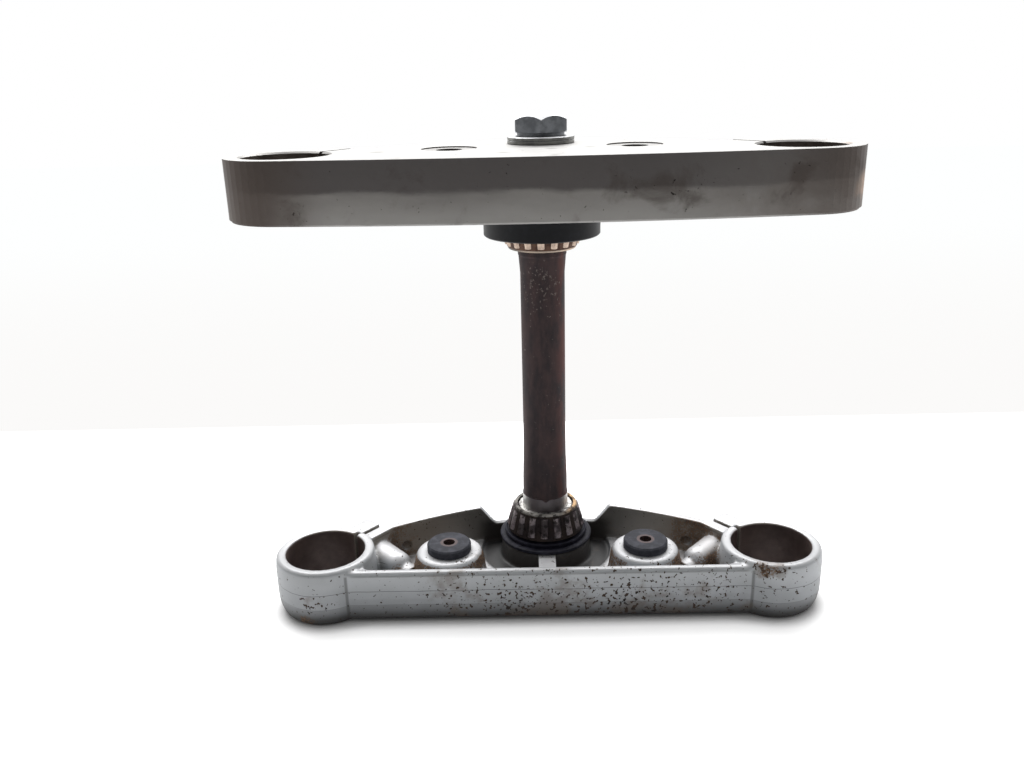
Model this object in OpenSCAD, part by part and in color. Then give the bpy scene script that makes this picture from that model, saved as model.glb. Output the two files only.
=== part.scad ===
// Motorcycle triple clamp: two fork clamps joined by a hollow steering stem, with the
// two tapered roller bearings of the steering head still on the stem.
// Millimetres. The origin is the stem axis at the level that the lower clamp stands on,
// +Z up the stem, +Y to the rear of the motorcycle, the fork tubes ahead of the stem.

/* [Fork and stem] */
// Outside diameter of the fork tubes
fork_tube_d = 41.3; // [39:0.1:43]
// Distance between the fork tube axes
fork_spacing = 238; // [230:1:250]
// Distance from the stem axis forward to the fork tubes
fork_offset = 39.7; // [37:0.1:43]
// Height from the hub of the lower clamp to the underside of the upper clamp
head_gap = 191; // [160:0.5:230]
// Diameter of the stem at the bearing seats
journal_d = 25.4; // [24.4:0.1:26.4]
// Diameter of the relieved middle of the stem
waist_d = 23.4; // [21:0.1:24]
// Bore of the hollow stem
stem_bore_d = 17; // [16.8:0.1:19]
// Diameter of the stem root pressed into the lower clamp
root_d = 28; // [27:0.5:32]

/* [Bearings] */
// Width of a bearing cone
cone_w = 14.7; // [14.3:0.1:16]
// Wall of a cone under the middle of its rollers
cone_wall = 3.3; // [3:0.1:4]
// Diameter of a roller at its middle
roller_d = 4.7; // [4.2:0.1:5.2]
// Length of a roller
roller_len = 10.8; // [9.5:0.1:11]
// Angle between a roller and the stem axis
roller_tilt = 14.2; // [12:0.1:15]
// Rollers in each bearing
roller_count = 17; // [14:1:18]
// Thickness of the pressed roller cage
cage_t = 0.9; // [0.7:0.1:1.1]

/* [Lower clamp] */
// Height of the beam and of the rear walls above the ground
wall_h = 30; // [28:0.5:33]
// Wall thickness of the beam and of the rear walls
wall_t = 4.5; // [4:0.1:5.5]
// Height of the collar rims above the beam
rim_h = 2; // [1.5:0.1:4]
// Wall of the fork collars
collar_wall = 5.85; // [5:0.05:7]
// Distance from the fork tubes forward to the front of the beam
beam_reach = 22.3; // [21:0.1:24]
// Height of the underside of the beam above the ground
belly_z = 2.4; // [2:0.1:4]
// Thickness of the pocket floor
floor_t = 7.1; // [6:0.1:8]
// Radius of the hub round the stem
hub_r = 25.3; // [23:0.1:27]
// Height of the hub
hub_h = 18; // [17:0.1:20]
// Width of the rib from the hub to the beam
rib_w = 9.6; // [7:0.1:12]
// Distance of each rear wall peak from the stem, sideways
peak_x = 38; // [35:0.5:41]
// Distance of each rear wall peak behind the stem axis
peak_y = 9.5; // [7:0.5:12]

/* [Grommets] */
// Distance between the two grommets
grommet_spacing = 106.6; // [102:0.2:112]
// Distance of the grommets ahead of the stem axis
grommet_reach = 32; // [30:0.5:34]
// Radius of the top of a grommet boss
boss_r = 18.4; // [17:0.1:19]
// Height of the grommet bosses
boss_h = 26.4; // [25:0.1:28]
// Thickness of the top wall of a grommet boss
boss_t = 6; // [4:0.1:8]
// Diameter of the flange of a grommet
grommet_d = 23.8; // [21:0.1:25]
// Height of the flange of a grommet
grommet_h = 4.4; // [3.5:0.1:6]
// Outside diameter of a grommet sleeve
sleeve_d = 9.5; // [8.5:0.1:11]
// Bore of a grommet sleeve
sleeve_bore_d = 6.4; // [5.5:0.1:7.5]

/* [Upper clamp] */
// Thickness of the upper clamp
upper_t = 28.6; // [25:0.1:32]
// Wall of the upper clamp round the fork tubes
upper_wall = 7.35; // [6.5:0.05:9]
// How far the front bows ahead of the fork ends
front_bow = 7.3; // [5:0.1:10]
// Draft of the lower half of the edge
edge_draft = 1; // [0.5:0.1:1.5]
// Radius of the boss round the stem
stem_boss_r = 31; // [30:0.5:34]
// Depth of the pockets in the underside
pocket_depth = 16; // [8:0.5:18]
// Distance between the riser holes
riser_spacing = 88.9; // [84:0.1:94]
// Distance of the riser holes ahead of the stem axis
riser_reach = 22; // [20:0.5:25]
// Diameter of the riser holes
riser_hole_d = 12.7; // [11:0.1:14]
// Diameter of the spot face round a riser hole
spot_face_d = 27; // [25:0.5:29]

/* [Pinch slots and bolts] */
// Direction of the slots, turned from straight inboard to the rear
slot_angle = 51; // [47:1:55]
// Width of the slots
slot_w = 2.2; // [1.5:0.1:3]
// Distance from a fork axis to the end of its pinch lug
lug_reach = 40.5; // [39:0.1:42]
// Distance from a fork axis to its pinch bolt
bolt_reach = 31; // [30.5:0.1:32]
// Diameter of the pinch bolts
pinch_d = 8; // [6:0.5:8]
// Diameter of the heads of the pinch bolts
pinch_head_d = 13; // [12:0.5:14]
// Height of the heads of the pinch bolts
pinch_head_h = 8; // [6:0.5:9]

/* [Cap, nut, bolt and seal] */
// Diameter of the dust cap
cap_d = 60.3; // [57:0.1:61]
// Height of the dust cap
cap_h = 17; // [14:0.5:19]
// Thickness of the dust cap
cap_t = 2.2; // [1.5:0.1:3]
// Height of the adjuster nut
nut_h = 6.1; // [5:0.1:8]
// Diameter of the adjuster nut
nut_d = 39; // [36:0.5:42]
// Diameter of the washer
washer_d = 33.6; // [30:0.2:38]
// Thickness of the washer
washer_t = 3.6; // [2:0.1:4]
// Diameter of the thread of the stem bolt
stem_bolt_d = 15.9; // [14:0.1:16.2]
// Width across the flats of the stem bolt
hex_af = 25.4; // [24:0.1:28]
// Height of the hexagon
hex_h = 8; // [6:0.1:12]
// Height of the round seat under the hexagon
seat_h = 1.9; // [1:0.1:3]
// Diameter of the lower dust seal
seal_d = 52.2; // [50:0.2:54]
// Thickness of the lower dust seal under the bearing
seal_h = 4.8; // [4.4:0.1:6]

/* [Hidden] */
$fn = 96;

// Clearances: a pressed or threaded fit, a rolling gap and a loose fit
press_gap = 0.02;
roll_gap = 0.12;
loose_gap = 0.25;
// Chamfer at the mouths of the bores and an overlap that keeps cuts clean
mouth = 0.8;
cut = 1;

fork_x = fork_spacing / 2;
fork_y = -fork_offset;
bore_r = fork_tube_d / 2;
journal_r = journal_d / 2;
collar_r = bore_r + collar_wall;
collar_h = wall_h + rim_h;

// Heights of the stack on the stem
lower_cone_z = hub_h + seal_h;
upper_z = hub_h + head_gap;
upper_top = upper_z + upper_t;
nut_z = upper_z - cap_t - nut_h;
washer_top = upper_top + washer_t;
stem_top = upper_top - 1.5;
bolt_len = 30;
nut_notch = 5;
// Radius of a grommet's neck
neck_r = 8;

// Bearing geometry: the axes of all rollers meet in one point of the stem axis
roller_r = roller_d / 2;
pitch_r = journal_r + cone_wall + roller_r;
apex_len = pitch_r / sin(roller_tilt);
roller_taper = roller_r / apex_len;
roller_mid = cone_w / 2 + 0.5;
half_len = roller_len / 2;
roller_big = roller_r + half_len * roller_taper;
roller_small = roller_r - half_len * roller_taper;
first_roller = -93;
// How far the cone's ribs climb the large and the small ends of the rollers
big_rib = 1.6;
small_rib = 0.45;
// Distance of the cage's inner face outside the middle of the rollers
cage_rise = 0.5;

// Front bow of the upper clamp, a wide arc tangent to both round ends
end_r = bore_r + upper_wall;
bow_depth = end_r + front_bow;
bow_r = (fork_x * fork_x + bow_depth * bow_depth - end_r * end_r) / (2 * front_bow);
bow_y = fork_y - bow_depth + bow_r;
// Rim round the pockets and depth of the spot faces of the upper clamp
rim_t = 7;
spot_depth = 0.6;

// Rear walls of the lower clamp: an arc through the peak and the root at the collar
wing_root = [fork_x - 26, fork_y + 23.1];
wing_peak = [peak_x, peak_y];
wing_sag = 1.8;
wing_chord = norm(wing_root - wing_peak);
wing_dir = (wing_peak - wing_root) / wing_chord;
wing_normal = [wing_dir[1], -wing_dir[0]];
wing_r = (wing_chord * wing_chord / 4 + wing_sag * wing_sag) / (2 * wing_sag);
wing_centre = (wing_root + wing_peak) / 2 - (wing_r - wing_sag) * wing_normal;
wing_end = fork_x - bore_r - 1;

beam_y = fork_y - beam_reach;
floor_z = belly_z + floor_t;
beam_half = fork_x - 8;
// Radius and depth of the recess in the pocket floor round the hub
recess_r = 37;
recess_depth = 3;
// Slope at the inner end of each rear wall, from the peak down to the hub
notch_points = [[peak_x + 0.6, wall_h + cut], [peak_x - 6.6, hub_h + 2.4],
                [peak_x - 8, hub_h + 0.6], [peak_x - 10, hub_h]];
// Flat ring that a collar stands on and the height of its rounded foot
foot_land = 1.4;
collar_foot_h = 12;
// Fillet between the beam and a collar
web_r = 9;
// Blind guide hole low in each rear wall, its depth counted from the root of the wall
guide_x = 80;
guide_z = 16;
guide_d = 5.5;
guide_depth = 10.4;

// Pinch lugs: half the width on the head side and on the thread side
lug_head_side = 12;
lug_thread_side = 8;
lug_heel = 5;
lower_bolt_z = wall_h / 2;
upper_bolt_z = upper_z + upper_t / 2;
pinch_len = lug_head_side + 20;
// Depth of the threaded hole behind the slot, and of the seat cut for the bolt's head
thread_depth = 24;
seat_reach = 30;
// Mound over the thread: radius at its root and at its round end, its length, and the
// lower ridge that links it to the grommet boss
mound_r = 11.3;
lump_r = 8.3;
lump_len = 21;
lump_link = 34;
link_r = 6;
// Heights over the lower cone where the stem tapers and reaches its waist, and the length
// below the upper cone where it leaves it
taper_rise = 32;
waist_rise = 50;
waist_drop = 14;

function roller_name(where, i) = str(where, "_roller_", i < 10 ? "0" : "", i);

// A point of a bearing's section: s runs along a roller to its small end, n outward from
// the roller's middle line, and the height counts from the cone's back face
function section(s, n) = [pitch_r - s * sin(roller_tilt) + n * cos(roller_tilt),
                          roller_mid + s * cos(roller_tilt) + n * sin(roller_tilt)];

// Points of an elliptical quarter round, from the foot of a profile to its side
function quarter(r, z, dr, dz) =
    [for (a = [0:15:90]) [r - dr * (1 - sin(a)), z + dz * (1 - cos(a))]];

module both_sides() {
    children();
    mirror([1, 0, 0]) children();
}

module side(name) {
    if (name == "left") mirror([1, 0, 0]) children();
    else children();
}

// The frame of the right pinch joint: +X out along the slot, +Y from bolt head to thread
module at_pinch() {
    translate([fork_x, fork_y, 0]) rotate([0, 0, 180 - slot_angle]) children();
}

// A cylinder along +Y of the pinch frame
module across(r, from, to) {
    translate([0, from, 0]) rotate([-90, 0, 0]) cylinder(r = r, h = to - from);
}

// Points of an arc round a centre, from angle to angle
function arc(centre, r, from, to, steps) =
    [for (i = [0:steps]) let (t = from + (to - from) * i / steps) centre + r * [cos(t), sin(t)]];

// A point of the right pinch frame, in the plan of the whole part
function pinch_point(out, over) = [fork_x, fork_y]
    + out * [-cos(slot_angle), sin(slot_angle)] - over * [sin(slot_angle), cos(slot_angle)];

// Right half of the upper clamp's outline, from the front to the rear, drawn in by an inset:
// the front bow, the round end, the pinch lug, the straight rear edge and the stem boss
function half_outline(inset) =
    let (bow_end = atan2(fork_y - bow_y, fork_x), end = end_r - inset,
         head_side = lug_head_side - inset, reach = lug_reach - inset,
         heel = pinch_point(reach, lug_heel),
         lift = atan2(heel[1], heel[0]) + acos((stem_boss_r - inset) / norm(heel)))
    concat(arc([0, bow_y], bow_r - inset, -90, bow_end, 8),
           arc([fork_x, fork_y], end, bow_end, 180 - slot_angle - asin(head_side / end), 24),
           [pinch_point(reach - 2, -head_side), pinch_point(reach, 2 - head_side), heel],
           arc([0, 0], stem_boss_r - inset, lift, 90, 6));

module upper_outline(inset) {
    half = half_outline(inset);
    n = len(half);
    polygon(concat(half, [for (i = [2:n - 1]) let (p = half[n - i]) [-p[0], p[1]]]));
}

// Pockets in the underside of the upper clamp, between its ribs and bosses
module upper_pockets() {
    both_sides() difference() {
        intersection() {
            upper_outline(rim_t);
            translate([stem_boss_r - 4, fork_y - 2 * end_r]) square([fork_x, 4 * end_r]);
        }
        translate([fork_x, fork_y]) circle(r = end_r + 1);
        circle(r = stem_boss_r + 1);
        translate([riser_spacing / 2, -riser_reach]) circle(r = spot_face_d / 2);
        translate([riser_spacing / 2 - rib_w / 4, fork_y - 2 * end_r])
            square([rib_w / 2, 4 * end_r]);
        translate([fork_x, fork_y]) rotate(180 - slot_angle)
            translate([0, -2 * lug_head_side]) square([lug_reach, 4 * lug_head_side + cut]);
    }
}

module pinch_cuts(z, height, bolt_z) {
    // The slot, the hole of the bolt and the seat of its head
    translate([0, -slot_w / 2, z - cut]) cube([lug_reach + 4 * cut, slot_w, height + 2 * cut]);
    translate([bolt_reach, 0, bolt_z]) {
        across(pinch_d / 2 + loose_gap, -lug_head_side - cut, 0);
        across(pinch_d / 2 + press_gap, 0, thread_depth);
        across(pinch_head_d / 2 + loose_gap, -lug_head_side - seat_reach, -lug_head_side);
    }
}

module fork_bore(z, height) {
    translate([fork_x, fork_y, z - cut]) cylinder(r = bore_r, h = height + 2 * cut);
    translate([fork_x, fork_y, z + height - mouth])
        cylinder(r1 = bore_r, r2 = bore_r + mouth + cut, h = mouth + cut);
}

module upper_clamp() {
    color("dimgray") difference() {
        union() {
            translate([0, 0, upper_z + edge_draft]) linear_extrude(upper_t - edge_draft)
                upper_outline(0);
            translate([0, 0, upper_z]) linear_extrude(upper_t / 2) upper_outline(edge_draft);
        }
        translate([0, 0, upper_z - cut]) linear_extrude(pocket_depth + cut) upper_pockets();
        translate([0, 0, upper_z - cut])
            cylinder(r = journal_r + press_gap, h = upper_t + 2 * cut);
        both_sides() {
            fork_bore(upper_z, upper_t);
            at_pinch() pinch_cuts(upper_z, upper_t, upper_bolt_z);
            translate([riser_spacing / 2, -riser_reach, upper_z - cut])
                cylinder(d = riser_hole_d, h = upper_t + 2 * cut);
            translate([riser_spacing / 2, -riser_reach, upper_top - spot_depth])
                cylinder(d = spot_face_d, h = spot_depth + cut);
        }
    }
}

// One fork collar of the lower clamp, round at the foot and with a low rim at the top
module collar() {
    translate([fork_x, fork_y, 0]) rotate_extrude() polygon(concat(
        [[bore_r - cut, 0]],
        quarter(collar_r, 0, collar_wall - foot_land, collar_foot_h),
        [[collar_r, wall_h - 5], [collar_r - 0.5, collar_h - 1.4],
         [collar_r - 1.2, collar_h - 0.5], [collar_r - 2, collar_h], [bore_r - cut, collar_h]]));
}

// Section of the beam, in depth and height, with its slightly undercut lower third
module beam_section() {
    polygon([[0, wall_h - 1.6], [0.4, wall_h - 0.6], [1.4, wall_h], [wall_t - 0.6, wall_h],
             [wall_t, wall_h - 0.8], [wall_t + 0.6, floor_z - 1], [wall_t + 0.6, belly_z],
             [1.6, belly_z], [1, belly_z + 0.8], [0.2, belly_z + 9], [-0.3, wall_h / 2]]);
}

// Points along the right rear wall, at an offset to the rear of its inner face
function wing(offset) =
    let (r = wing_r + offset, c = wing_centre)
    arc(c, r, acos((wing_end - c[0]) / r), acos((-2 - c[0]) / r), 14);

module rear_wall() {
    inner = wing(0);
    translate([0, 0, belly_z]) linear_extrude(wall_h - belly_z)
        polygon(concat(wing(wall_t), [for (i = [1:len(inner)]) inner[len(inner) - i]]));
}

// Floor between the beam and the rear wall, recessed round the hub
module pocket_floor() {
    difference() {
        translate([0, 0, belly_z]) linear_extrude(floor_t)
            polygon(concat([[-2, beam_y + wall_t / 2], [wing_end, beam_y + wall_t / 2]],
                           wing(wall_t / 2)));
        translate([0, 0, floor_z - recess_depth]) cylinder(r = recess_r, h = floor_t);
    }
}

// The gap between the two rear wall peaks, with rounded lower corners
module notch() {
    translate([0, fork_x, 0]) rotate([90, 0, 0]) linear_extrude(fork_x) polygon([
        for (s = [-1, 1]) each [for (p = s < 0 ? [3, 2, 1, 0] : [0, 1, 2, 3])
            [s * notch_points[p][0], notch_points[p][1]]]]);
}

module grommet_boss() {
    translate([grommet_spacing / 2, -grommet_reach, belly_z]) rotate_extrude() polygon([
        [0, 1], [boss_r + 2.2, 1], [boss_r + 2, floor_t + 1], [boss_r + 0.4, boss_h - belly_z - 4.5],
        [boss_r - 0.4, boss_h - belly_z - 2], [boss_r - 1.5, boss_h - belly_z - 0.6],
        [boss_r - 3.2, boss_h - belly_z], [0, boss_h - belly_z]]);
}

// Tapered mound over the thread of a pinch bolt, with its link to the grommet boss
module pinch_ridge() {
    at_pinch() translate([bolt_reach, 0, lower_bolt_z]) {
        rotate([-90, 0, 0]) rotate_extrude()
            polygon(concat([[0, 0], [mound_r, 0]], arc([0, lump_len], lump_r, 0, 90, 8)));
        translate([0, 0, link_r - lump_r]) across(link_r, lump_len, lump_link);
    }
}

module lower_clamp() {
    color("silver") difference() {
        union() {
            translate([-beam_half, beam_y, 0]) rotate([90, 0, 90])
                linear_extrude(2 * beam_half) beam_section();
            cylinder(r = hub_r, h = hub_h);
            translate([-rib_w / 2, beam_y + wall_t, belly_z])
                cube([rib_w, -beam_y - wall_t - root_d / 2 - cut, hub_h - 1 - belly_z]);
            both_sides() {
                collar();
                pocket_floor();
                rear_wall();
                grommet_boss();
                pinch_ridge();
                at_pinch() translate([0, -lug_head_side, belly_z])
                    cube([lug_reach, lug_head_side + lug_thread_side, wall_h - belly_z]);
                translate([fork_x - bore_r, beam_y + wall_t, belly_z]) mirror([1, 0, 0])
                    linear_extrude(wall_h - belly_z - 1)
                    polygon(concat([[-collar_wall, web_r], [-collar_wall, -cut], [web_r, -cut]],
                                   arc([web_r, web_r], web_r, 270, 180, 6)));
            }
        }
        notch();
        translate([0, 0, -cut]) cylinder(r = root_d / 2 + press_gap, h = hub_h + 2 * cut);
        both_sides() {
            fork_bore(0, collar_h);
            at_pinch() pinch_cuts(0, collar_h, lower_bolt_z);
            translate([grommet_spacing / 2, -grommet_reach, belly_z - cut]) {
                cylinder(r = boss_r - wall_t, h = boss_h - boss_t - belly_z + cut);
                cylinder(r = neck_r + press_gap, h = boss_h);
            }
            translate([guide_x, wing_root[1], guide_z]) rotate([-90, 0, 0])
                cylinder(d = guide_d, h = guide_depth);
        }
    }
}

module steering_stem() {
    color("saddlebrown") rotate_extrude() polygon([
        [stem_bore_d / 2, 0], [root_d / 2 - 1, 0], [root_d / 2, 1], [root_d / 2, hub_h - 0.5],
        [root_d / 2 - 0.5, hub_h], [journal_r, hub_h], [journal_r, lower_cone_z + cone_w + 8],
        [journal_r - 0.3, lower_cone_z + cone_w + 8.4],
        [journal_r - 0.35, lower_cone_z + cone_w + 17],
        [waist_d / 2 + 0.15, lower_cone_z + cone_w + taper_rise],
        [waist_d / 2, lower_cone_z + cone_w + waist_rise],
        [waist_d / 2, nut_z - cone_w - waist_drop],
        [journal_r - 0.3, nut_z - cone_w - 5], [journal_r, nut_z - cone_w - 4],
        [journal_r, stem_top - 1], [journal_r - 1, stem_top],
        [stem_bolt_d / 2 + press_gap, stem_top],
        [stem_bolt_d / 2 + press_gap, washer_top - bolt_len], [stem_bore_d / 2, washer_top - bolt_len - 2]]);
}

module stem_bolt() {
    color("slategray") {
        translate([0, 0, washer_top - bolt_len]) cylinder(d = stem_bolt_d, h = bolt_len + cut);
        translate([0, 0, washer_top]) cylinder(d = hex_af - 1.6, h = seat_h + cut);
        translate([0, 0, washer_top + seat_h]) intersection() {
            rotate([0, 0, 30]) cylinder(d = hex_af / cos(30), h = hex_h, $fn = 6);
            cylinder(r1 = hex_af / 2 + hex_h + 0.4, r2 = hex_af / 2 - 0.6, h = hex_h + 0.4);
            cylinder(r2 = hex_af / 2 + hex_h + 1.2, r1 = hex_af / 2 + 1.2, h = hex_h);
        }
    }
}

// Washer with a fine line round the middle of its rim
module stem_washer() {
    color("lightgray") translate([0, 0, upper_top]) rotate_extrude() polygon([
        [stem_bolt_d / 2 + loose_gap, 0], [washer_d / 2 - 0.3, 0], [washer_d / 2, 0.3],
        [washer_d / 2, washer_t / 2 - 0.2], [washer_d / 2 - 0.3, washer_t / 2],
        [washer_d / 2, washer_t / 2 + 0.2], [washer_d / 2, washer_t - 0.4],
        [washer_d / 2 - 0.4, washer_t], [stem_bolt_d / 2 + loose_gap, washer_t]]);
}

module dust_cap() {
    color("black") translate([0, 0, upper_z]) rotate_extrude() polygon([
        [journal_r + loose_gap, 0], [cap_d / 2 - 2, 0], [cap_d / 2 - 0.6, -0.6],
        [cap_d / 2, -2], [cap_d / 2, 0.6 - cap_h], [cap_d / 2 - 0.6, -cap_h],
        [cap_d / 2 - cap_t, -cap_h], [cap_d / 2 - cap_t, -cap_t],
        [journal_r + loose_gap, -cap_t]]);
}

module adjuster_nut() {
    color("gray") translate([0, 0, nut_z]) difference() {
        cylinder(d = nut_d, h = nut_h);
        translate([0, 0, -cut]) cylinder(r = journal_r + press_gap, h = nut_h + 2 * cut);
        for (a = [45:90:315]) rotate([0, 0, a])
            translate([nut_d / 2 - nut_notch / 2, -nut_notch / 2, -cut])
                cube([nut_notch, nut_notch, nut_h + 2 * cut]);
    }
}

// Inner ring of a bearing, from its back face up, with the ribs that guide the rollers
module cone() {
    rib = section(-half_len - roll_gap, big_rib - roller_big);
    lip = section(half_len + roll_gap, small_rib - roller_small);
    rotate_extrude() polygon([
        [journal_r + press_gap, 0], [rib[0] - 0.6, 0], [rib[0], 0.6], rib,
        section(-half_len - roll_gap, -roller_big - roll_gap),
        section(half_len + roll_gap, -roller_small - roll_gap), lip,
        [lip[0], cone_w - 0.4], [lip[0] - 0.4, cone_w], [journal_r + press_gap, cone_w]]);
}

// One roller, lying in its place in the bearing
module roller(i, grow) {
    rotate([0, 0, first_roller + i * 360 / roller_count])
        translate([pitch_r, 0, roller_mid]) rotate([0, -roller_tilt, 0])
        translate([0, 0, -half_len - grow])
        cylinder(r1 = roller_big + grow, r2 = roller_small + grow, h = roller_len + 2 * grow);
}

// Pressed cage: a cone of sheet outside the roller axes, a window for each roller and a
// flange over the small end of the bearing cone
module cage() {
    top = cone_w + 0.8;
    flange_r = section(half_len, small_rib - roller_small)[0] + 0.6;
    difference() {
        rotate_extrude() polygon([
            section(-half_len - 1.8, cage_rise), section(-half_len - 1.8, cage_rise + cage_t),
            section(half_len + 0.8, cage_rise + cage_t),
            [section(half_len + 0.8, cage_rise + cage_t)[0] - 0.7, top],
            [flange_r, top], [flange_r, top - cage_t],
            section(half_len + 0.8, cage_rise) - [0.3, 0]]);
        for (i = [1:roller_count]) roller(i, 1.2 * roll_gap);
    }
}

module place_lower() {
    translate([0, 0, lower_cone_z]) children();
}

module place_upper() {
    translate([0, 0, nut_z]) mirror([0, 0, 1]) children();
}

// Two lips over the hub and a flat disc that the lower bearing cone sits on
module lower_seal() {
    color("black") translate([0, 0, hub_h]) rotate_extrude() polygon([
        [journal_r + press_gap, 0], [seal_d / 2 - 1, 0], [seal_d / 2, 0.7],
        [seal_d / 2, seal_h / 2 - 0.4], [seal_d / 2 - 0.7, seal_h / 2],
        [seal_d / 2 - 3, seal_h / 2 + 0.2], [seal_d / 2 - 2.6, seal_h - 0.4],
        [seal_d / 2 - 3, seal_h + 0.3], [seal_d / 2 - 3.5, seal_h + 0.3],
        [seal_d / 2 - 4, seal_h - 0.4], [seal_d / 2 - 6, seal_h - 0.4],
        [seal_d / 2 - 7, seal_h], [journal_r + press_gap, seal_h]]);
}

// Rubber grommet held by a flange above and a smaller one inside the boss
module grommet() {
    color("darkslategray") translate([grommet_spacing / 2, -grommet_reach, boss_h])
        rotate_extrude() polygon([
            [sleeve_d / 2, grommet_h], [grommet_d / 2 - 0.8, grommet_h],
            [grommet_d / 2, grommet_h - 0.8], [grommet_d / 2, 0], [neck_r, 0],
            [neck_r, -boss_t], [boss_r - wall_t - 2, -boss_t],
            [boss_r - wall_t - 2, -boss_t - 3], [sleeve_d / 2, -boss_t - 3]]);
}

module grommet_sleeve() {
    color("gray") translate([grommet_spacing / 2, -grommet_reach, boss_h - boss_t - 3])
        difference() {
            cylinder(d = sleeve_d, h = boss_t + 3 + grommet_h);
            translate([0, 0, -cut]) cylinder(d = sleeve_bore_d, h = boss_t + 3 + grommet_h + 2 * cut);
        }
}

// Socket head bolt across a pinch slot
module pinch_bolt(z) {
    color("dimgray") at_pinch() translate([bolt_reach, -lug_head_side, z]) difference() {
        union() {
            across(pinch_d / 2, -cut, pinch_len);
            across(pinch_head_d / 2, -pinch_head_h, 0);
        }
        rotate([90, 0, 0]) translate([0, 0, pinch_head_h / 2])
            cylinder(d = pinch_d * 0.85, h = pinch_head_h, $fn = 6);
    }
}

upper_clamp();
lower_clamp();
steering_stem();
stem_bolt();
stem_washer();
dust_cap();
adjuster_nut();
color("gray") place_upper() cone();  // upper_cone
color("tan") place_upper() cage();  // upper_cage
color("gray") place_lower() cone();  // lower_cone
color("saddlebrown") place_lower() cage();  // lower_cage
lower_seal();
side("left") grommet();  // left_grommet
side("right") grommet();  // right_grommet
side("left") grommet_sleeve();  // left_grommet_sleeve
side("right") grommet_sleeve();  // right_grommet_sleeve
side("left") pinch_bolt(upper_bolt_z);  // upper_left_pinch_bolt
side("right") pinch_bolt(upper_bolt_z);  // upper_right_pinch_bolt
side("left") pinch_bolt(lower_bolt_z);  // lower_left_pinch_bolt
side("right") pinch_bolt(lower_bolt_z);  // lower_right_pinch_bolt
for (i = [1:roller_count]) {
    color("rosybrown") place_upper() roller(i, 0);
    color("gray") place_lower() roller(i, 0);
}
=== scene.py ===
"""Motorcycle triple clamp on a plain pale floor, in the order in which it is put together."""
import math

import bpy
from mathutils import Matrix, Vector


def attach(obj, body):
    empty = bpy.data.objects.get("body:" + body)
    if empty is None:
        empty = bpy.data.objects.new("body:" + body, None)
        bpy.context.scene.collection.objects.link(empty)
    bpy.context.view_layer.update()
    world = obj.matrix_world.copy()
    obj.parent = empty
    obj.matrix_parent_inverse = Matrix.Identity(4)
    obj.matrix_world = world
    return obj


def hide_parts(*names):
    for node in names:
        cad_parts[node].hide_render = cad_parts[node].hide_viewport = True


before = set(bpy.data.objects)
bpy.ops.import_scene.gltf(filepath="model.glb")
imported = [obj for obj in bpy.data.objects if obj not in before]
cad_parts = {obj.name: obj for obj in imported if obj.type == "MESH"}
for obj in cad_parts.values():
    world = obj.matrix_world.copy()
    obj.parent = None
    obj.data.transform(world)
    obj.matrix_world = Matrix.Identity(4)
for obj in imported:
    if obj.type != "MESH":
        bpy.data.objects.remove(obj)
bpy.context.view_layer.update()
scene = bpy.context.scene
scene.view_settings.view_transform = "Standard"

# The camera stands low in front of the clamp, near enough that the lower clamp is seen
# from well above and the upper one almost level with its top face.
CAMERA_AT = Vector((-0.010146, -0.467425, 0.272345))
CAMERA_YAW, CAMERA_PITCH, CAMERA_ROLL = -0.01558, 0.33440, -0.02503
FOCAL_PX, PHOTO_W_PX, SENSOR_MM, CLIP_START = 903.49, 1024, 36, 0.01
ahead = Vector((math.sin(CAMERA_YAW) * math.cos(CAMERA_PITCH),
                math.cos(CAMERA_YAW) * math.cos(CAMERA_PITCH), -math.sin(CAMERA_PITCH)))
level = Vector((math.cos(CAMERA_YAW), -math.sin(CAMERA_YAW), 0))
upright = level.cross(ahead)
right = math.cos(CAMERA_ROLL) * level + math.sin(CAMERA_ROLL) * upright
top = -math.sin(CAMERA_ROLL) * level + math.cos(CAMERA_ROLL) * upright
turned = Matrix((right, top, -ahead)).transposed().to_4x4()
camera = bpy.data.objects.new("camera", bpy.data.cameras.new("camera"))
camera.data.sensor_width = SENSOR_MM
camera.data.lens = FOCAL_PX * SENSOR_MM / PHOTO_W_PX
camera.data.clip_start = CLIP_START
camera.matrix_world = Matrix.Translation(CAMERA_AT) @ turned
scene.collection.objects.link(camera)
scene.camera = camera


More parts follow.
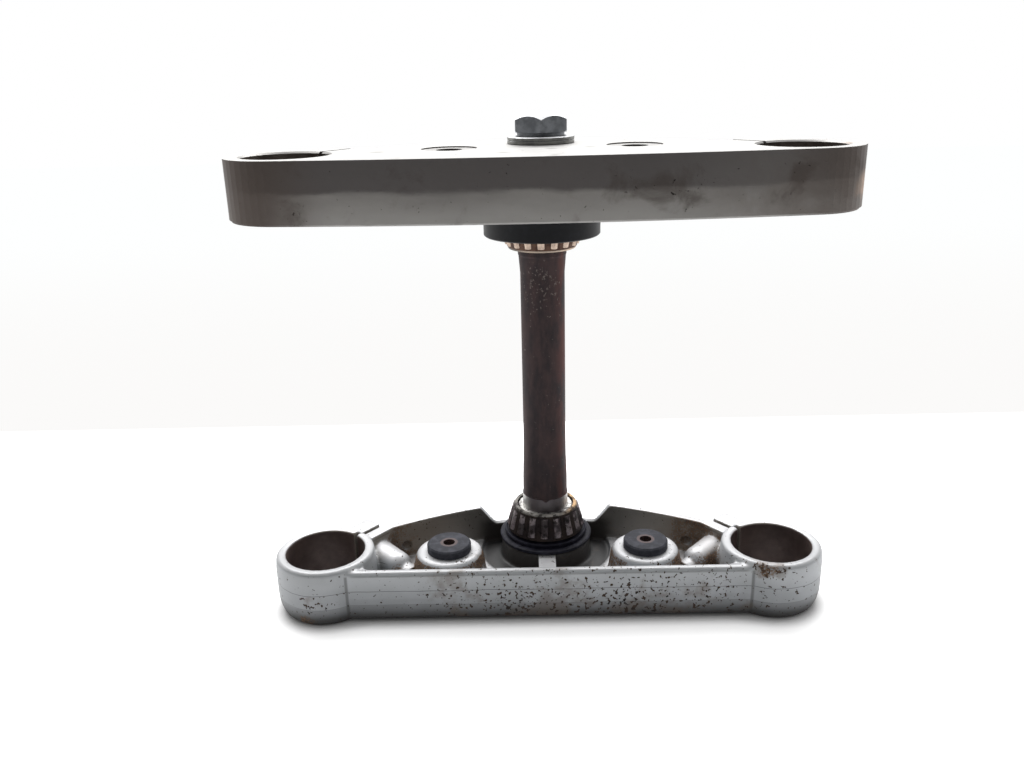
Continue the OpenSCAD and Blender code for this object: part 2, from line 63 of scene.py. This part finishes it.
# Floor and light: a white table in front of a bright window wall. The side that the camera
# stands on is a dim room, so faces that look that way are grey and tops are white. Far from
# the clamp the table glows plain white for the camera. Close to it that glow fades, a painted
# contact shadow over the shadow that the clamp really casts.
class Line:
    """One output among a finish's nodes, so that shader maths reads as an expression."""

    def __init__(self, tree, socket=None):
        self.tree, self.socket = tree, socket

    def node(self, kind, sockets=None, out=0, **settings):
        made = self.tree.nodes.new("ShaderNode" + kind)
        for name, value in settings.items():
            setattr(made, name, value)
        for name, value in (sockets or {}).items():
            if isinstance(value, Line):
                self.tree.links.new(value.socket, made.inputs[name])
            else:
                made.inputs[name].default_value = value
        return Line(self.tree, made.outputs[out])

    def maths(self, operation, a, b=0.0):
        return self.node("Math", {0: a, 1: b}, operation=operation)

    def __add__(self, other):
        return self.maths("ADD", self, other)

    def __mul__(self, other):
        return self.maths("MULTIPLY", self, other)

    def __sub__(self, other):
        return self.maths("SUBTRACT", self, other)

    def __rsub__(self, other):
        return self.maths("SUBTRACT", other, self)

    def __abs__(self):
        return self.maths("ABSOLUTE", self)

    __radd__, __rmul__ = __add__, __mul__

    def most(self, other):
        return self.maths("MAXIMUM", self, other)

    def least(self, other):
        return self.maths("MINIMUM", self, other)

    def between(self, low, high):
        """0 at low and 1 at high, with a soft start and end, or the other way round."""
        return self.node("MapRange", {"Value": self, "From Min": low, "From Max": high},
                         interpolation_type="SMOOTHSTEP")

    def picks(self, low, high):
        """The colour low where this mask is 0, and high where it is 1."""
        return self.node("Mix", {0: self, 6: low, 7: high}, out=2, data_type="RGBA")

    def parts(self):
        """The X, Y and Z of this vector."""
        made = self.node("SeparateXYZ", {0: self}).socket.node
        return [Line(self.tree, output) for output in made.outputs]

    def stretched(self, x=1.0, y=1.0, z=1.0):
        return self.node("VectorMath", {0: self, 1: (x, y, z)}, operation="MULTIPLY")

    def grain(self, size, detail=3.0, rough=0.55, warp=0.0):
        """Noise whose blotches are about size metres across. This line is the place."""
        return self.node("TexNoise", {"Vector": self, "Scale": 1 / size, "Detail": detail,
                                      "Roughness": rough, "Distortion": warp})

    def near(self, centre, reach, core=0.35):
        """1 round centre and 0 from reach metres off. This line is the place."""
        gap = self.node("VectorMath", {0: self, 1: centre}, out="Value", operation="DISTANCE")
        return gap.between(reach, core * reach)

    def spots(self, marks):
        """The sum of soft marks, each given as its centre, its reach and its strength."""
        total = 0
        for centre, reach, strength in marks:
            total = self.near(centre, reach) * strength + total
        return total

    def off_axis(self, x=0.0, y=0.0):
        """How far this place is from the upright axis through x and y."""
        return self.node("VectorMath", {0: self.stretched(1, 1, 0), 1: (x, y, 0)},
                         out="Value", operation="DISTANCE")

    def open_air(self, reach, samples=6, inside=False):
        """1 on open faces, less where walls stand within reach metres."""
        return self.node("AmbientOcclusion", {"Distance": reach}, out="AO",
                         samples=samples, inside=inside)

    def feeds(self, shader, name):
        self.tree.links.new(self.socket, shader.inputs[name])

    def dents(self, shader, strength):
        """Lets this height, in metres, tilt the face that the shader sees."""
        tilt = self.node("Bump", {"Height": self, "Distance": 1.0, "Strength": strength})
        tilt.feeds(shader, "Normal")


def tone(red, green, blue):
    """A colour in the steps of 255 that a picture has, as the linear one that shaders take."""
    return (*((step / 255 / 12.92) if step <= 10 else ((step / 255 + 0.055) / 1.055) ** 2.4
              for step in (red, green, blue)), 1)


def finish(name, **fixed):
    """A new material, the place on the object that its patterns start from, and its shader."""
    made = bpy.data.materials.new(name)
    made.use_nodes = True
    shader = made.node_tree.nodes["Principled BSDF"]
    for socket, value in fixed.items():
        shader.inputs[socket.replace("_", " ")].default_value = value
    return made, Line(made.node_tree).node("TexCoord", out="Object"), shader


def rays(line):
    """1 where the camera looks straight at the surface, and 1 where a shiny one mirrors it."""
    path = line.node("LightPath").socket.node.outputs
    return Line(line.tree, path["Is Camera Ray"]), Line(line.tree, path["Is Glossy Ray"])


FLOOR_NEAR, FLOOR_FAR, FLOOR_HALF_WIDTH = -1.15, 2.6, 2.4
WALL_Y, WALL_BLUR, WALL_CLEAR_Y = 0.22, 0.003, 1.2
SHADOW_REACH, TABLE_GLOW = 0.012, 0.55
floor_mesh = bpy.data.meshes.new("floor")
floor_mesh.from_pydata([(-FLOOR_HALF_WIDTH, FLOOR_NEAR, 0), (FLOOR_HALF_WIDTH, FLOOR_NEAR, 0),
                        (FLOOR_HALF_WIDTH, FLOOR_FAR, 0), (-FLOOR_HALF_WIDTH, FLOOR_FAR, 0)],
                       [], [(0, 1, 2, 3)])
floor = bpy.data.objects.new("floor", floor_mesh)
scene.collection.objects.link(floor)
white_table, place, shader = finish("white_table", Roughness=0.8, Specular_IOR_Level=0.0,
                                    Emission_Strength=1.0)
seen, mirrored = rays(place)
behind = place.parts()[1]
wall = behind.between(WALL_Y - WALL_BLUR, WALL_Y + WALL_BLUR) * seen.most(mirrored)
((1 - wall) * 0.93).feeds(shader, "Base Color")
# The glow fades where the clamp stands close over the table: a painted contact shadow.
glow = place.open_air(SHADOW_REACH, samples=8).between(0.45, 0.95) * seen * TABLE_GLOW
haze = behind.between(WALL_Y, WALL_CLEAR_Y).picks(tone(251, 250, 249), tone(254, 255, 255))
wall.picks(glow, haze).feeds(shader, "Emission Color")
floor_mesh.materials.append(white_table)

WINDOW_AT, WINDOW_WIDTH, WINDOW_HEIGHT, WINDOW_WATTS = Vector((-0.1, 0.75, 1.35)), 1.8, 1.0, 26
LIT_POINT = Vector((0, 0, 0.1))
world = bpy.data.worlds.new("room")
scene.world = world
world.use_nodes = True
sky = Line(world.node_tree).node("TexCoord", out="Generated")
_, depth, height = sky.parts()
room = depth.between(-0.45, 0.45) * 0.62 + height.between(0.05, 0.8) * 0.34 + 0.05
seen, mirrored = rays(sky)
daylight = room.most(seen).most(mirrored * depth.between(0.1, 0.5))
daylight.feeds(world.node_tree.nodes["Background"], "Color")
window = bpy.data.objects.new("window", bpy.data.lights.new("window", "AREA"))
window.data.shape = "RECTANGLE"
window.data.size, window.data.size_y = WINDOW_WIDTH, WINDOW_HEIGHT
window.data.energy = WINDOW_WATTS
window.location = WINDOW_AT
window.rotation_euler = (LIT_POINT - WINDOW_AT).to_track_quat("-Z", "Y").to_euler()
scene.collection.objects.link(window)


# Lower clamp: one aluminium casting in silver paint. Its edges are rounded by the mould, and
# flash seams run along the front. Stones have chipped the paint down to brown metal, and rust
# has run from the bosses. The recess round the hub is painted near black, a painted shade.
def settle(piece):
    """Leaves the piece as the plain mesh that its modifiers made."""
    shaped = piece.evaluated_get(bpy.context.evaluated_depsgraph_get())
    made = bpy.data.meshes.new_from_object(shaped)
    piece.modifiers.clear()
    piece.data = made


def cast(node, name, voxel, rounds, triangles):
    """A casting over its CAD solid: the same form, with edges as a mould leaves them."""
    skin = bpy.data.objects.new(name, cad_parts[node].data.copy())
    scene.collection.objects.link(skin)
    remesh = skin.modifiers.new("mould", "REMESH")
    remesh.mode, remesh.voxel_size = "VOXEL", voxel
    soften = skin.modifiers.new("edges", "SMOOTH")
    soften.factor, soften.iterations = 0.5, rounds
    settle(skin)
    thin = skin.modifiers.new("thin", "DECIMATE")
    thin.ratio = triangles / (2 * len(skin.data.polygons))
    settle(skin)
    skin.data.shade_smooth()
    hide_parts(node)
    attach(skin, "root")
    return skin


def facing(place):
    """The X, Y and Z of the direction that a surface faces, at rest."""
    return place.node("TexCoord", out="Normal").parts()


def dress(piece, material):
    """Gives the whole piece one finish, in place of the plain one that it was packed with."""
    piece.data.materials.clear()
    piece.data.materials.append(material)


BORE_X, BORE_Y, BORE_R = 0.119, -0.0397, 0.02065


def fork_bores(place):
    """1 on the walls of both fork bores."""
    left, right = [place.off_axis(x, BORE_Y).between(BORE_R + 0.0006, BORE_R + 0.0002)
                   for x in (-BORE_X, BORE_X)]
    return left.most(right)


BEAM_Y, OUTER_Y, OUTER_X, EDGE_BLUR = -0.062, -0.05, 0.088, 0.002
FOOT_Z, SEAMS, SEAM_DRIFT = 0.0106, ((0.0193, 0.7), (0.0109, 0.4)), 0.0016
UNDER_RIM_Z, COLLAR_EDGE_X, COLLAR_RIM_Z = 0.0279, 0.1047, 0.0285
BOSS_X, BOSS_Y, BOSS_RUST_Z = 0.0533, -0.032, 0.0256
GREASE_R, GREASE_Z, GREASE_Y = 0.0425, 0.0245, 0.02
RIB_HALF_WIDTH, RIB_START_Y = 0.0052, -0.022
STRUCK = (((0.012, BEAM_Y, 0.003), 0.050, 1.0), ((0.062, BEAM_Y, 0.006), 0.045, 1.0),
          ((-0.035, BEAM_Y, 0.012), 0.040, 0.9), ((0.1, BEAM_Y, 0.02), 0.03, 0.5),
          ((-0.08, BEAM_Y, 0.008), 0.03, 0.3), ((0.128, -0.06, 0.012), 0.03, 0.4),
          ((-0.121, -0.067, 0.0145), 0.011, 1.1), ((0.109, -0.0625, 0.0285), 0.0065, 1.3),
          ((0.117, -0.0655, 0.0288), 0.006, 1.1))
DAMP = (((-0.081, -0.012, 0.018), 0.021, 1.0), ((0.083, -0.012, 0.02), 0.026, 1.0),
        ((0.094, -0.03, 0.022), 0.014, 0.8), ((-0.08, -0.046, 0.015), 0.018, 1.0),
        ((0.082, -0.046, 0.016), 0.02, 1.1), ((0.112, -0.0625, 0.0295), 0.009, 0.9),
        ((-0.126, -0.066, 0.002), 0.009, 1.0))
lower_clamp = cast("lower_clamp", "lower_clamp_casting", 0.0008, 5, 190000)
silver, place, shader = finish("chipped_silver_paint", Metallic=0.3)
x, y, z = place.parts()
_, ny, nz = facing(place)
front = ny.between(-0.3, -0.7)
outside = y.between(OUTER_Y + EDGE_BLUR, OUTER_Y - EDGE_BLUR).most(
    abs(x).between(OUTER_X - EDGE_BLUR, OUTER_X + EDGE_BLUR))
hollow_shade = 1 - place.open_air(0.012)
corner_shade = 1 - place.open_air(0.0035)
blotch = place.grain(0.018, 4, 0.6)
fleck = place.grain(0.002, 2, 0.55)
speck = place.grain(0.0009, 3, 0.6)

# The paint, with painted light on tops and high on the outer faces, and painted shade low
# down, in hollows and on the rear walls.
colour = place.grain(0.03).between(0.35, 0.65).picks(tone(166, 169, 172), tone(182, 185, 189))
# Painted light high on the outer faces.
colour = (z.between(0.016, 0.027) * outside * 0.5).picks(colour, tone(202, 205, 207))
colour = (x.between(-0.1, -0.13) * outside * 0.35).picks(colour, tone(140, 141, 142))
# Painted shade in hollows.
colour = (hollow_shade.between(0.3, 0.85) * 0.75).picks(colour, tone(92, 90, 86))
# Painted light on tops, palest towards the back.
tops = y.between(-0.06, -0.015).picks(tone(184, 185, 187), tone(214, 214, 216))
colour = (nz.between(0.5, 0.9) * hollow_shade.between(0.75, 0.4)).picks(colour, tops)
# Painted shade low on the outer faces that do not look up.
low = z.between(FOOT_Z + 0.0011, FOOT_Z - 0.0004) * 0.3 + z.between(FOOT_Z, 0.003) * 0.6
colour = (low * outside * nz.between(0.5, 0.2)).picks(colour, tone(66, 65, 65))
# Painted shade on the front faces of the rear walls, which stand behind the front wall, browner
# towards their ends with rust.
rear_shade_and_rust = abs(x).between(0.035, 0.08).picks(tone(106, 102, 96), tone(138, 129, 118))
colour = (y.between(-0.034, -0.024) * front * 0.9).picks(colour, rear_shade_and_rust)

# Dark lines: the mould's flash seams, and painted shade in the crease under the rims and beside the
# collars.
seams_and_crease_shade = 0
for seam_z, strength in SEAMS:
    drift = place.grain(0.02, 2) * SEAM_DRIFT - SEAM_DRIFT / 2
    here = abs(z + drift - seam_z).between(0.00022, 0.00007)
    seams_and_crease_shade = (here * front * outside * strength).most(seams_and_crease_shade)
# Painted shade in the creases under the rims and beside the collars.
under_rim = abs(z - UNDER_RIM_Z).between(0.0007, 0.0002) * abs(x).between(0.104, 0.1) * outside
seams_and_crease_shade = (under_rim * front * 0.4).most(seams_and_crease_shade)
beside_collar = abs(abs(x) - COLLAR_EDGE_X).between(0.0012, 0.0003)
beside_collar = beside_collar * z.between(COLLAR_RIM_Z, COLLAR_RIM_Z - 0.001)
seams_and_crease_shade = (beside_collar * y.between(-0.058, -0.06) * 0.6).most(seams_and_crease_shade)
colour = seams_and_crease_shade.picks(colour, tone(78, 77, 76))
# Painted shade in tight corners.
colour = (corner_shade.between(0.3, 0.6) * 0.6).picks(colour, tone(70, 66, 62))

# Painted shade in the recess round the hub, darkest where it faces up. The rib in front of it is
# left out, as light falls on its top.
rib = abs(x).between(RIB_HALF_WIDTH, RIB_HALF_WIDTH - 0.0006) * nz.between(0.5, 0.8)
rib = rib * y.between(RIB_START_Y, RIB_START_Y - 0.004)
# Painted shade in the recess round the hub.
recess_shade = place.off_axis().between(GREASE_R, GREASE_R - 0.008) * z.between(GREASE_Z, 0.0178)
recess_shade = recess_shade * y.between(GREASE_Y, GREASE_Y - 0.008)
darkening = nz.between(0.3, 0.8).picks(tone(56, 53, 51), tone(14, 13, 12))
colour = (recess_shade * (1 - rib) * 0.94).picks(colour, darkening)

# Stone chips with brown stains round them, on faces that look forward or up.
struck = place.spots(STRUCK) * ny.between(0.4, -0.1)
chips = (fleck + speck * 0.12 + struck * 0.09).between(0.75, 0.775)
stain = (blotch + struck * 0.16).between(0.66, 0.8) * 0.5
bare = place.grain(0.004).between(0.4, 0.6).picks(tone(44, 41, 40), tone(78, 64, 54))
colour = chips.picks(stain.picks(colour, tone(112, 98, 86)), bare)

# Rust where water has stood, and round the bosses below their edge.
brink = 0
for boss_x in (-BOSS_X, BOSS_X):
    from_boss = place.off_axis(boss_x, BOSS_Y)
    brink = (from_boss.between(0.0155, 0.0175) * from_boss.between(0.022, 0.02)).most(brink)
brink = brink * z.between(BOSS_RUST_Z, BOSS_RUST_Z - 0.0014)
brink = brink * (x.between(0.046, 0.04) + x.between(0.056, 0.062))
rust = blotch * 0.8 + speck * 0.5 + place.spots(DAMP) * 0.3 + brink * 0.32
rust = rust.between(0.82, 1.02) * (1 - nz.between(0.6, 0.9) * 0.8)
colour = rust.picks(colour, speck.between(0.35, 0.65).picks(tone(56, 47, 42), tone(132, 106, 84)))
bore_tone = blotch.between(0.3, 0.7).picks(tone(76, 64, 62), tone(106, 92, 88))
fork_bores(place).picks(colour, bore_tone).feeds(shader, "Base Color")
(0.4 + hollow_shade * 0.2 + chips * 0.35 + rust * 0.3).feeds(shader, "Roughness")
relief = speck * 0.00005 - chips * 0.00015 + rust * speck * 0.0002 + seams_and_crease_shade * 0.00012
relief.dents(shader, 0.7)
dress(lower_clamp, silver)


# Steering stem: a drawn steel tube pressed into the lower clamp. Grease and heat have turned
# it brown and black, and only the journal over the lower bearing is still bright.
JOURNAL_Z, JOURNAL_TOP_Z, JOURNAL_DIP, SCUFFED = 0.0365, 0.0452, 0.0014, (-0.002, -0.0127, 0.165)
steel, place, shader = finish("browned_stem_steel", Metallic=0.75)
x, _, z = place.parts()
streak = place.stretched(1, 1, 0.35).grain(0.008, 5, 0.65)
fleck = place.grain(0.0018, 4, 0.65)
colour = streak.between(0.35, 0.65).picks(tone(58, 52, 54), tone(80, 66, 66))
reddish = x.between(0.005, 0.011) * streak.between(0.35, 0.6) * 0.6
colour = reddish.picks(colour, tone(104, 60, 54))
scuffs = (fleck + place.near(SCUFFED, 0.02) * 0.08).between(0.66, 0.72)
colour = scuffs.picks(colour, tone(122, 112, 108))
rubbed_to = JOURNAL_TOP_Z - abs(x).between(0.0025, 0.0) * JOURNAL_DIP
journal = z.between(JOURNAL_Z, JOURNAL_Z + 0.0007) * (z - rubbed_to).between(0.0003, -0.0003)
# The journal is bare bright steel, painted paler on its sides than on its front: a painted
# reflection.
journal_steel_and_sheen = abs(x).between(0.0075, 0.0118).picks(tone(112, 106, 108), tone(206, 204, 202))
journal.picks(colour, journal_steel_and_sheen).feeds(shader, "Base Color")
(0.5 + streak * 0.18 - journal * 0.2).feeds(shader, "Roughness")
(fleck * 0.00008 + streak * 0.0001).dents(shader, 0.6)
dress(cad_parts["steering_stem"], steel)


# Lower bearing: a hardened cone pressed on the stem, with seventeen tapered rollers in a
# pressed cage. Old grease has darkened all of it but the cone's face and the cage's rim,
# which is silver on one side and has turned golden on the other.
def bearing(where, rim_z, cage_tones, rim_tones, roller_tones, cone_tones, film):
    """The finishes of one bearing: two tones for each part, and how much grease is on it."""
    for part, tones, gloss in (("cage", cage_tones, 0.42), ("roller", roller_tones, 0.3),
                               ("cone", cone_tones, 0.34)):
        made, place, shader = finish(f"{where}_{part}_steel", Metallic=0.85)
        x, _, z = place.parts()
        smear = place.grain(0.003, 4, 0.7)
        colour = smear.between(0.3, 0.6).picks(*tones)
        if part == "cage":
            rim = (x + smear * 0.01).between(0.011, 0.021).picks(*rim_tones)
            rim = (x.between(-0.006, -0.014) * 0.8).picks(rim, tone(96, 94, 90))
            colour = abs(z - rim_z).between(0.0011, 0.0006).picks(colour, rim)
        murk = place.grain(0.008, 2).between(0.46, 0.6) * film * 1.4
        colour = murk.picks(colour, tone(52, 46, 47))
        darkening = smear.between(0.62 - film * 0.2, 0.7 - film * 0.15)
        colour = (darkening * 0.8).picks(colour, tone(34, 29, 27))
        # Painted shade in the gaps between rollers and cage.
        sunk_shade = 1 - place.open_air(0.0018)
        (sunk_shade.between(0.3, 0.75) * 0.85).picks(colour, tone(20, 16, 15)).feeds(shader, "Base Color")
        (gloss + smear * 0.2).feeds(shader, "Roughness")
        (smear * 0.00008).dents(shader, 0.5)
        for node in [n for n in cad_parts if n.startswith(f"{where}_{part}")]:
            dress(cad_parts[node], made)


bearing("lower", rim_z=0.0383, film=0.57,
        cage_tones=(tone(44, 38, 36), tone(72, 62, 58)),
        rim_tones=(tone(178, 174, 168), tone(190, 158, 120)),
        roller_tones=(tone(124, 114, 118), tone(180, 168, 170)),
        cone_tones=(tone(206, 204, 200), tone(232, 230, 226)))


# Lower dust seal: a black rubber ring with two lips, which sits on the clamp's hub under the
# bearing and keeps water out of it.
def rubber(name, dark, worn, roughness, node_names):
    """Moulded rubber: matt, a little paler where it is rubbed, with a painted highlight on its thin
    edges and a fine skin.
    """
    made, place, shader = finish(name, Specular_IOR_Level=0.15)
    rubbed = place.grain(0.004, 4, 0.6)
    # Painted highlight along thin edges and lips.
    edge_highlight = 1 - place.open_air(0.0012, inside=True)
    pale = rubbed.between(0.4, 0.7) * 0.6 + edge_highlight.between(0.35, 0.7) * 0.4
    pale.picks(dark, worn).feeds(shader, "Base Color")
    (roughness + rubbed * 0.15).feeds(shader, "Roughness")
    (place.grain(0.0006, 3) * 0.00004).dents(shader, 0.6)
    for node in node_names:
        dress(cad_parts[node], made)


rubber("black_seal_rubber", tone(22, 22, 32), tone(54, 54, 66), 0.45,
       ["lower_seal"])


# Grommets: grey rubber buttons pushed into the two bosses, each with a steel sleeve that has
# rusted. The bolts of a bracket go through them.
rubber("grey_grommet_rubber", tone(60, 61, 67), tone(88, 89, 97), 0.6,
       ["left_grommet", "right_grommet"])
sleeve, place, shader = finish("rusty_sleeve_steel", Metallic=0.5)
crust = place.grain(0.0012, 4, 0.65)
colour = crust.between(0.35, 0.65).picks(tone(62, 56, 56), tone(112, 88, 84))
# Painted light: the top paler.
lit_top = facing(place)[2].between(0.4, 0.8) * 0.6
lit_top.picks(colour, tone(96, 88, 90)).feeds(shader, "Base Color")
(0.5 + crust * 0.3).feeds(shader, "Roughness")
(crust * 0.00012).dents(shader, 0.7)
for node in ("left_grommet_sleeve", "right_grommet_sleeve"):
    dress(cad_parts[node], sleeve)


# Upper bearing and dust cap: the same bearing turned over, cleaner and tanned by old grease.
# A cap pressed from steel and painted black sits over it and keeps the rain off.
bearing("upper", rim_z=0.1852, film=0.0,
        cage_tones=(tone(66, 48, 42), tone(104, 80, 68)),
        rim_tones=(tone(196, 180, 164), tone(210, 190, 170)),
        roller_tones=(tone(176, 154, 140), tone(216, 194, 176)),
        cone_tones=(tone(190, 178, 164), tone(222, 212, 200)))
black, place, shader = finish("black_satin_paint", Specular_IOR_Level=0.3)
dust = place.grain(0.006, 4, 0.6)
# Painted highlight along the cap's edges.
edge_highlight = 1 - place.open_air(0.0012, inside=True)
colour = dust.between(0.45, 0.75).picks(tone(14, 15, 20), tone(26, 27, 33))
(edge_highlight.between(0.4, 0.8) * 0.5).picks(colour, tone(70, 70, 74)).feeds(shader, "Base Color")
(0.34 + dust * 0.16).feeds(shader, "Roughness")
(place.grain(0.0012, 3) * 0.00003).dents(shader, 0.5)
dress(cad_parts["dust_cap"], black)


# Upper clamp: an alloy casting, machined and then polished by hand. The polish has gone
# dull, with oil stains and small pits, and its right end is worn down to a warm shine. The
# front's reflections are painted: dark above a soft crease for the dim room, pale below it.
def broken_edges(piece, width):
    """A small round on every sharp edge of a turned or machined piece."""
    piece.data.shade_smooth()
    rounding = piece.modifiers.new("broken_edges", "BEVEL")
    rounding.width, rounding.segments, rounding.limit_method = width, 2, "ANGLE"
    piece.modifiers.new("even_shading", "WEIGHTED_NORMAL")


TOP_Z, CREASE_Z, UNDERSIDE_Z = 0.2376, 0.2236, 0.2100
RISER_X, RISER_Y, RISER_MARK_R = 0.04445, -0.022, 0.0125
OILY = (((0.109, -0.064, 0.23), 0.01, 1.3), ((0.11, -0.064, 0.222), 0.008, 1.0),
        ((0.033, -0.074, 0.224), 0.012, 0.7), ((0.048, -0.073, 0.2225), 0.013, 0.8),
        ((0.064, -0.072, 0.2245), 0.013, 0.7), ((0.08, -0.07, 0.227), 0.012, 0.5),
        ((-0.108, -0.064, 0.215), 0.012, 1.0), ((-0.094, -0.064, 0.212), 0.01, 0.8),
        ((0.128, -0.06, 0.214), 0.012, 0.8), ((0.134, -0.056, 0.231), 0.01, 0.7))
WORN = (((0.1435, -0.04, 0.229), 0.012), ((0.141, -0.05, 0.216), 0.014))
SCRATCH_AT = (0.004, -0.036, TOP_Z)
upper_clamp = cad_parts["upper_clamp"]
broken_edges(upper_clamp, 0.0007)
alloy, place, shader = finish("dull_polished_alloy", Metallic=0.9)
x, y, z = place.parts()
_, _, nz = facing(place)
hollow_shade = 1 - place.open_air(0.012)
blotch = place.grain(0.02, 5, 0.6, 0.4)
fleck = place.grain(0.002, 4, 0.65)
brushed = place.stretched(0.4, 1, 1).grain(0.03, 5)

# Painted reflections: pale below the crease and dark above it, where the front mirrors the
# dim room. Painted light: pale on top.
edge = nz.between(0.45, 0.2) * nz.between(-0.45, -0.2)
wavy = z + place.stretched(0.5, 1, 1).grain(0.022, 4) * 0.008 - 0.004
painted_dim_reflection = wavy.between(CREASE_Z - 0.0018, CREASE_Z + 0.0014) * edge
colour = brushed.between(0.3, 0.7).picks(tone(134, 131, 128), tone(150, 147, 143))
colour = (wavy.between(CREASE_Z, CREASE_Z - 0.014) * 0.7).picks(colour, tone(168, 166, 163))
tarnish = x.between(0.045, 0.11) * edge * blotch.between(0.3, 0.6) * 0.5
colour = tarnish.picks(colour, tone(118, 110, 104))
colour = (painted_dim_reflection * (0.95 - x.between(0.04, 0.1) * 0.4)).picks(colour, tone(102, 98, 97))
# Painted highlight along the rounded bottom edge of the front.
bottom_edge_highlight = z.between(UNDERSIDE_Z, UNDERSIDE_Z - 0.0005) * edge * 0.8
colour = bottom_edge_highlight.picks(colour, tone(214, 212, 210))
# Painted light: pale on top.
lit_top_tone = brushed.between(0.3, 0.7).picks(tone(178, 177, 175), tone(190, 189, 187))
colour = nz.between(0.5, 0.9).picks(colour, lit_top_tone)

# Oil stains, pits, painted shade in hollows, dark ends, and the worn right end.
struck = place.spots(OILY)
stain = (blotch + struck * 0.2).between(0.58, 0.8)
colour = (stain * 0.6).picks(colour, tone(82, 74, 69))
pits = (fleck + struck * 0.06).between(0.69, 0.72)
colour = pits.picks(colour, tone(46, 42, 40))
# Painted shade in hollows.
colour = (hollow_shade.between(0.35, 0.85) * 0.8).picks(colour, tone(70, 66, 62))
ends = x.between(-0.09, -0.128) * 0.95 + x.between(0.095, 0.134) * 0.75
colour = (ends * edge).picks(colour, tone(98, 89, 84))
worn = 0
for at, reach in WORN:
    worn = place.near(at, reach).most(worn)
colour = (worn * blotch.between(0.35, 0.6) * 0.8).picks(colour, tone(206, 176, 152))

# Grey marks round the riser holes, where the risers' feet have rubbed, and a scratch.
rubbed = place.near(SCRATCH_AT, 0.004)
for riser_x in (-RISER_X, RISER_X):
    round_hole = place.near((riser_x, RISER_Y, TOP_Z), RISER_MARK_R, core=0.92)
    rubbed = (round_hole * brushed.between(0.3, 0.6)).most(rubbed)
colour = (rubbed * nz.between(0.5, 0.9) * 0.5).picks(colour, tone(120, 116, 114))
bore_tone = blotch.between(0.3, 0.7).picks(tone(78, 70, 66), tone(116, 108, 102))
(fork_bores(place) * edge).picks(colour, bore_tone).feeds(shader, "Base Color")
(0.42 + blotch * 0.12 + pits * 0.3 + stain * 0.1).feeds(shader, "Roughness")
draft = (wavy - CREASE_Z).least(0) * edge * 0.05
(fleck * 0.00003 - pits * 0.0001 + blotch * 0.00012 + draft).dents(shader, 0.8)
dress(upper_clamp, alloy)


# Stem bolt, washer, adjuster nut and pinch bolts: steel, zinc plated. The bolt and the thick
# washer pull the upper clamp down on the stem, the nut under it sets the bearings' play, and
# a pinch bolt across each slot closes a collar on its fork tube.
def plated(name, tones, roughness, node_names):
    """Zinc plating that has gone grey and cloudy, with painted shade in corners and painted light,
    white, on tops.
    """
    made, place, shader = finish(name, Metallic=0.8)
    cloud = place.grain(0.005, 4, 0.6)
    # Painted shade in corners, and painted light on tops.
    sunk_shade = 1 - place.open_air(0.003)
    lit_top = facing(place)[2].between(0.3, 0.6)
    colour = lit_top.picks(cloud.between(0.35, 0.65).picks(*tones), tone(228, 229, 231))
    (sunk_shade.between(0.2, 0.8) * 0.7).picks(colour, tone(60, 56, 52)).feeds(shader, "Base Color")
    (roughness + cloud * 0.2).feeds(shader, "Roughness")
    (place.grain(0.0012, 4, 0.6) * 0.00006).dents(shader, 0.5)
    for node in node_names:
        broken_edges(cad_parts[node], 0.0005)
        dress(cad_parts[node], made)


BOLT_TONES = (tone(146, 150, 156), tone(180, 184, 190))
WASHER_TONES = (tone(140, 140, 138), tone(176, 176, 172))
plated("dull_zinc", BOLT_TONES, 0.4,
       ["stem_bolt"] + [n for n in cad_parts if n.endswith("pinch_bolt")])
plated("nut_zinc", BOLT_TONES, 0.4, ["adjuster_nut"])
plated("washer_zinc", WASHER_TONES, 0.4, ["stem_washer"])
